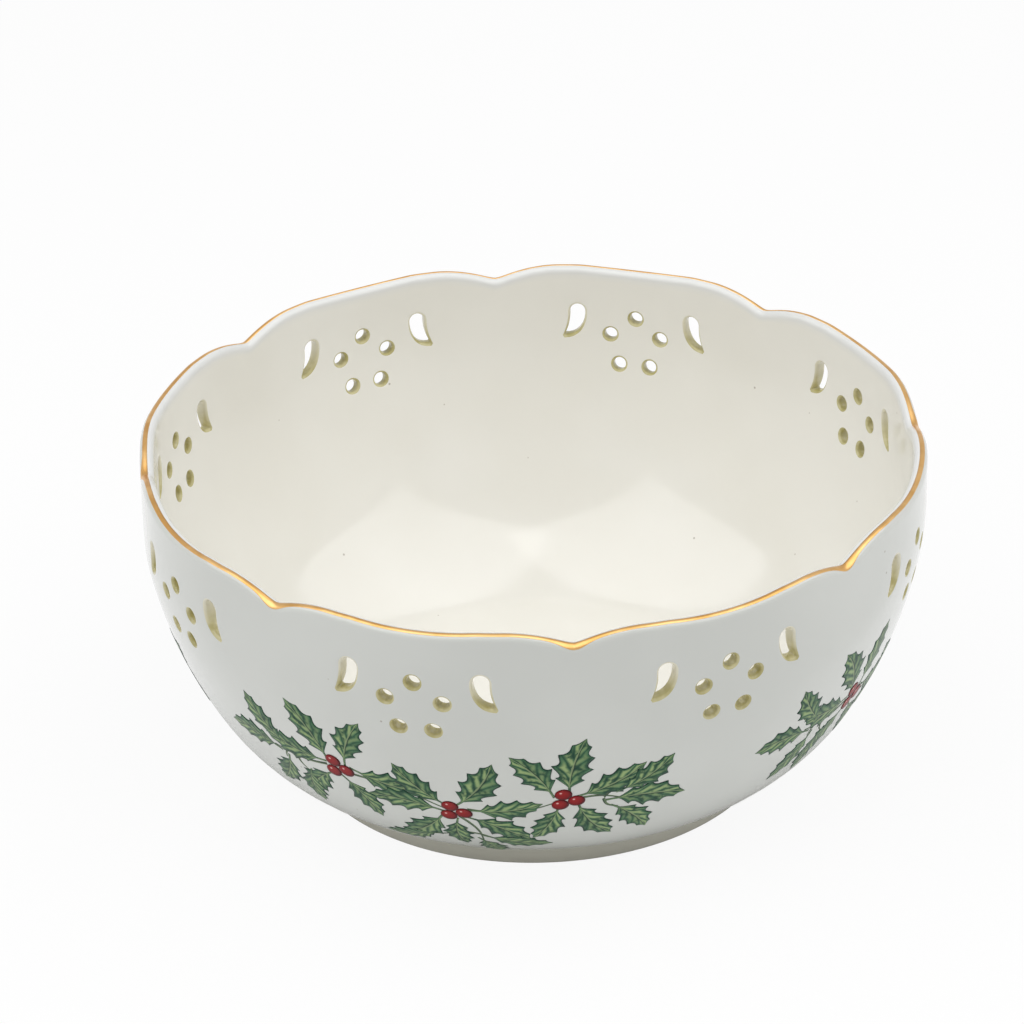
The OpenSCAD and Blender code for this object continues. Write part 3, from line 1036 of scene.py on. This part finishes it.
def makeLeaves():
    columns = leafColumns()
    bpy.ops.mesh.primitive_grid_add(x_subdivisions=len(columns) - 1, y_subdivisions=8,
                                    size=2, calc_uvs=True)
    master = renamed("leafMaster")
    flat = [(round((v.co.x + 1) / 2 * (len(columns) - 1)), v.co.y)
            for v in master.data.vertices]
    for v, (column, y) in zip(master.data.vertices, flat):
        t, w = columns[column]
        v.co = Vector((t, y * w, 0))
    picker = random.Random(7)
    leaves = []
    for k, (px, ph, turn, size, bend) in enumerate(leafPlaces):
        leaf = copyOf(master)
        c, s = math.cos(math.radians(turn)), math.sin(math.radians(turn))
        length = spray["leaf"] * size
        lift = spray["lift"] + spray["leafStack"] * k
        for v in leaf.data.vertices:
            x = v.co.x * length
            y = (v.co.y + bend * spray["bend"] * 4 * v.co.x * (1 - v.co.x)) * length
            v.co = inSpray((px, ph), x * c - y * s, x * s + y * c, lift)
        tone = leaf.data.attributes.new("leafTone", "FLOAT", "POINT")
        value = picker.random()
        for item in tone.data:
            item.value = value
        leaves.append(leaf)
    bpy.data.objects.remove(master)
    return joined(leaves, "frontHollyLeaves", leafPrint)


def makeBerries():
    bpy.ops.mesh.primitive_circle_add(vertices=32, radius=spray["berry"] / 2,
                                      fill_type="NGON", calc_uvs=True)
    master = renamed("berryMaster")
    startEdit(master)
    bpy.ops.mesh.select_all(action="SELECT")
    for k in range(3):
        bpy.ops.mesh.inset(thickness=spray["berry"] / 9)
    bpy.ops.mesh.poke()
    bpy.ops.object.mode_set(mode="OBJECT")
    berries = []
    for place in clusterPlaces:
        for k, a in enumerate(spray["berryAngles"]):
            berry = copyOf(master)
            far = spray["berrySpread"] * spray["berry"]
            cx = far * math.cos(math.radians(a))
            cy = far * math.sin(math.radians(a))
            for v in berry.data.vertices:
                v.co = inSpray(place, cx + v.co.x, cy + v.co.y, spray["lift"]
                               + spray["berryOver"] + spray["berryStack"] * k)
            berries.append(berry)
    bpy.data.objects.remove(master)
    return joined(berries, "frontHollyBerries", berryPrint)


def makeStems():
    stems = []
    for k, (x0, h0, x1, h1, bow) in enumerate(stemPlaces):
        bpy.ops.mesh.primitive_grid_add(x_subdivisions=14, y_subdivisions=2, size=2,
                                        calc_uvs=True)
        stem = renamed("stem%d" % k)
        run = Vector(((x1 - x0) * spray["width"], (h1 - h0) * spray["height"]))
        across = Vector((-run.y, run.x)).normalized()
        for v in stem.data.vertices:
            t = (v.co.x + 1) / 2
            half = spray["stem"] / 2 * (1 - (1 - spray["stemTip"]) * t)
            p = (run * (t - 0.5) + across * bow * spray["width"] * math.sin(math.pi * t)
                 + across * half * v.co.y)
            v.co = inSpray(((x0 + x1) / 2, (h0 + h1) / 2), p.x, p.y, spray["lift"]
                           - spray["stemUnder"] + spray["stemStack"] * (k % 3))
        stems.append(stem)
    return joined(stems, "frontHollyStems", stemPrint)


body = makeBowl()
goldRing = makeGoldLine(body)
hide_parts("porcelain_bowl")
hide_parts("gilt_rim_line")
pieces = [body, goldRing]

for maker, layer, slot in ((makeLeaves, "leaves", "leaf_print"),
                           (makeBerries, "berries", "berry_print"),
                           (makeStems, "stems", "stem_print")):
    front = maker()
    prints = [front] + [copyOf(front) for k in range(3)]
    for k, quarter in enumerate(("front", "right", "back", "left")):
        piece = prints[k]
        piece.data.transform(Matrix.Rotation(math.radians(90) * k, 4, "Z"))
        piece.name = quarter + "Holly" + layer.title()
        piece.data.name = piece.name
        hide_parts(quarter + "_holly_" + layer)
        pieces.append(piece)
    print("holly", layer, "printed on")

for piece in pieces:
    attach(piece, "root")


view = {                      # fitted to the photo's rim and piercings
    "lens": 180.47,
    "sensor": 36.0,
    "place": (0.36550, -1.17528, 0.75727),
    "right": (0.956623, 0.290615, -0.020359),
    "up": (-0.124343, 0.470501, 0.873594),
    "forward": (-0.263459, 0.833169, -0.486229),
}

studio = {
    "floor": (0.93, 0.93, 0.93, 1),
    "whiteShare": 0.91,       # of the floor's look in the camera, the rest keeps the shadow
    "shadowFrom": 0.075,      # the foot's shadow stays whole in reflections out to here
    "shadowTo": 0.13,
    "world": 0.36,
    "worldInGloss": 0.65,     # the white tent as gold and glaze mirror it
    "cameraTurn": math.radians(-70),
    "softbox": (0.147, 0.52, 0.88),      # towards the camera, to its right, up
    "softboxWide": 1.2,
    "softboxTall": 1.2,
    "softboxPower": 5.8,
    "aimHeight": 0.03,
}


def addSoftbox(name, side):
    near, across, high = studio["softbox"]
    c, s = math.cos(studio["cameraTurn"]), math.sin(studio["cameraTurn"])
    light = bpy.data.lights.new(name, "AREA")
    light.shape = "RECTANGLE"
    light.size, light.size_y = studio["softboxWide"], studio["softboxTall"]
    light.energy = studio["softboxPower"]
    lamp = bpy.data.objects.new(name, light)
    bpy.context.collection.objects.link(lamp)
    lamp.location = (near * c - side * across * s, near * s + side * across * c, high)
    aim = Vector((0, 0, studio["aimHeight"])) - lamp.location
    lamp.rotation_euler = aim.to_track_quat("-Z", "Y").to_euler()


def makeFloor():
    deselectAll()
    bpy.ops.mesh.primitive_plane_add(size=12)
    floor = renamed("floor")
    mat, tree, shader = startMaterial("paper")
    shader.inputs["Base Color"].default_value = studio["floor"]
    shader.inputs["Roughness"].default_value = 0.9
    shader.inputs["Specular IOR Level"].default_value = 0.2
    path = addNode(tree, "LightPath").outputs
    where = addNode(tree, "TexCoord").outputs["Object"]
    away = addNode(tree, "VectorMath", {0: where}, operation="LENGTH").outputs["Value"]
    clear = ramp(tree, away, studio["shadowFrom"], studio["shadowTo"])
    seen = maths(tree, "MULTIPLY_ADD", path["Is Glossy Ray"], clear, path["Is Camera Ray"])
    seen = maths(tree, "ADD", seen, path["Is Transmission Ray"], clamp=True)
    seen = maths(tree, "MULTIPLY", seen, studio["whiteShare"])
    glow = addNode(tree, "Emission", {"Color": (1, 1, 1, 1), "Strength": 1.0})
    both = addNode(tree, "MixShader", {0: seen, 1: shader.outputs[0], 2: glow.outputs[0]})
    tree.links.new(both.outputs[0], tree.nodes["Material Output"].inputs["Surface"])
    floor.data.materials.append(mat)


def makeTent():                    # white to the camera, dimmer where it lights the bowl
    world = bpy.data.worlds.new("lightTent")
    world.use_nodes = True
    tree = world.node_tree
    tree.nodes["Background"].inputs["Color"].default_value = (1, 1, 1, 1)
    path = addNode(tree, "LightPath").outputs
    seen = maths(tree, "ADD", path["Is Camera Ray"], path["Is Transmission Ray"], clamp=True)
    strength = maths(tree, "MULTIPLY_ADD", path["Is Glossy Ray"],
                     studio["worldInGloss"] - studio["world"], studio["world"])
    strength = maths(tree, "MULTIPLY_ADD", seen, 1 - studio["world"], strength)
    tree.links.new(strength, tree.nodes["Background"].inputs["Strength"])
    bpy.context.scene.world = world


def makeCamera():
    lens = bpy.data.cameras.new("photoLens")
    lens.lens, lens.sensor_width = view["lens"], view["sensor"]
    lens.clip_end = 20
    shooter = bpy.data.objects.new("photoCamera", lens)
    bpy.context.collection.objects.link(shooter)
    axes = [Vector(view["right"]), Vector(view["up"]), -Vector(view["forward"])]
    turned = Matrix.Identity(4)
    for column, axis in enumerate(axes):
        for row in range(3):
            turned[row][column] = axis[row]
    shooter.matrix_world = Matrix.Translation(view["place"]) @ turned
    bpy.context.scene.camera = shooter


def makeStudio():
    makeFloor()
    addSoftbox("rightSoftbox", 1)
    addSoftbox("leftSoftbox", -1)
    makeTent()
    makeCamera()
    bpy.context.scene.view_settings.view_transform = "Standard"
    print("studio set")


makeStudio()

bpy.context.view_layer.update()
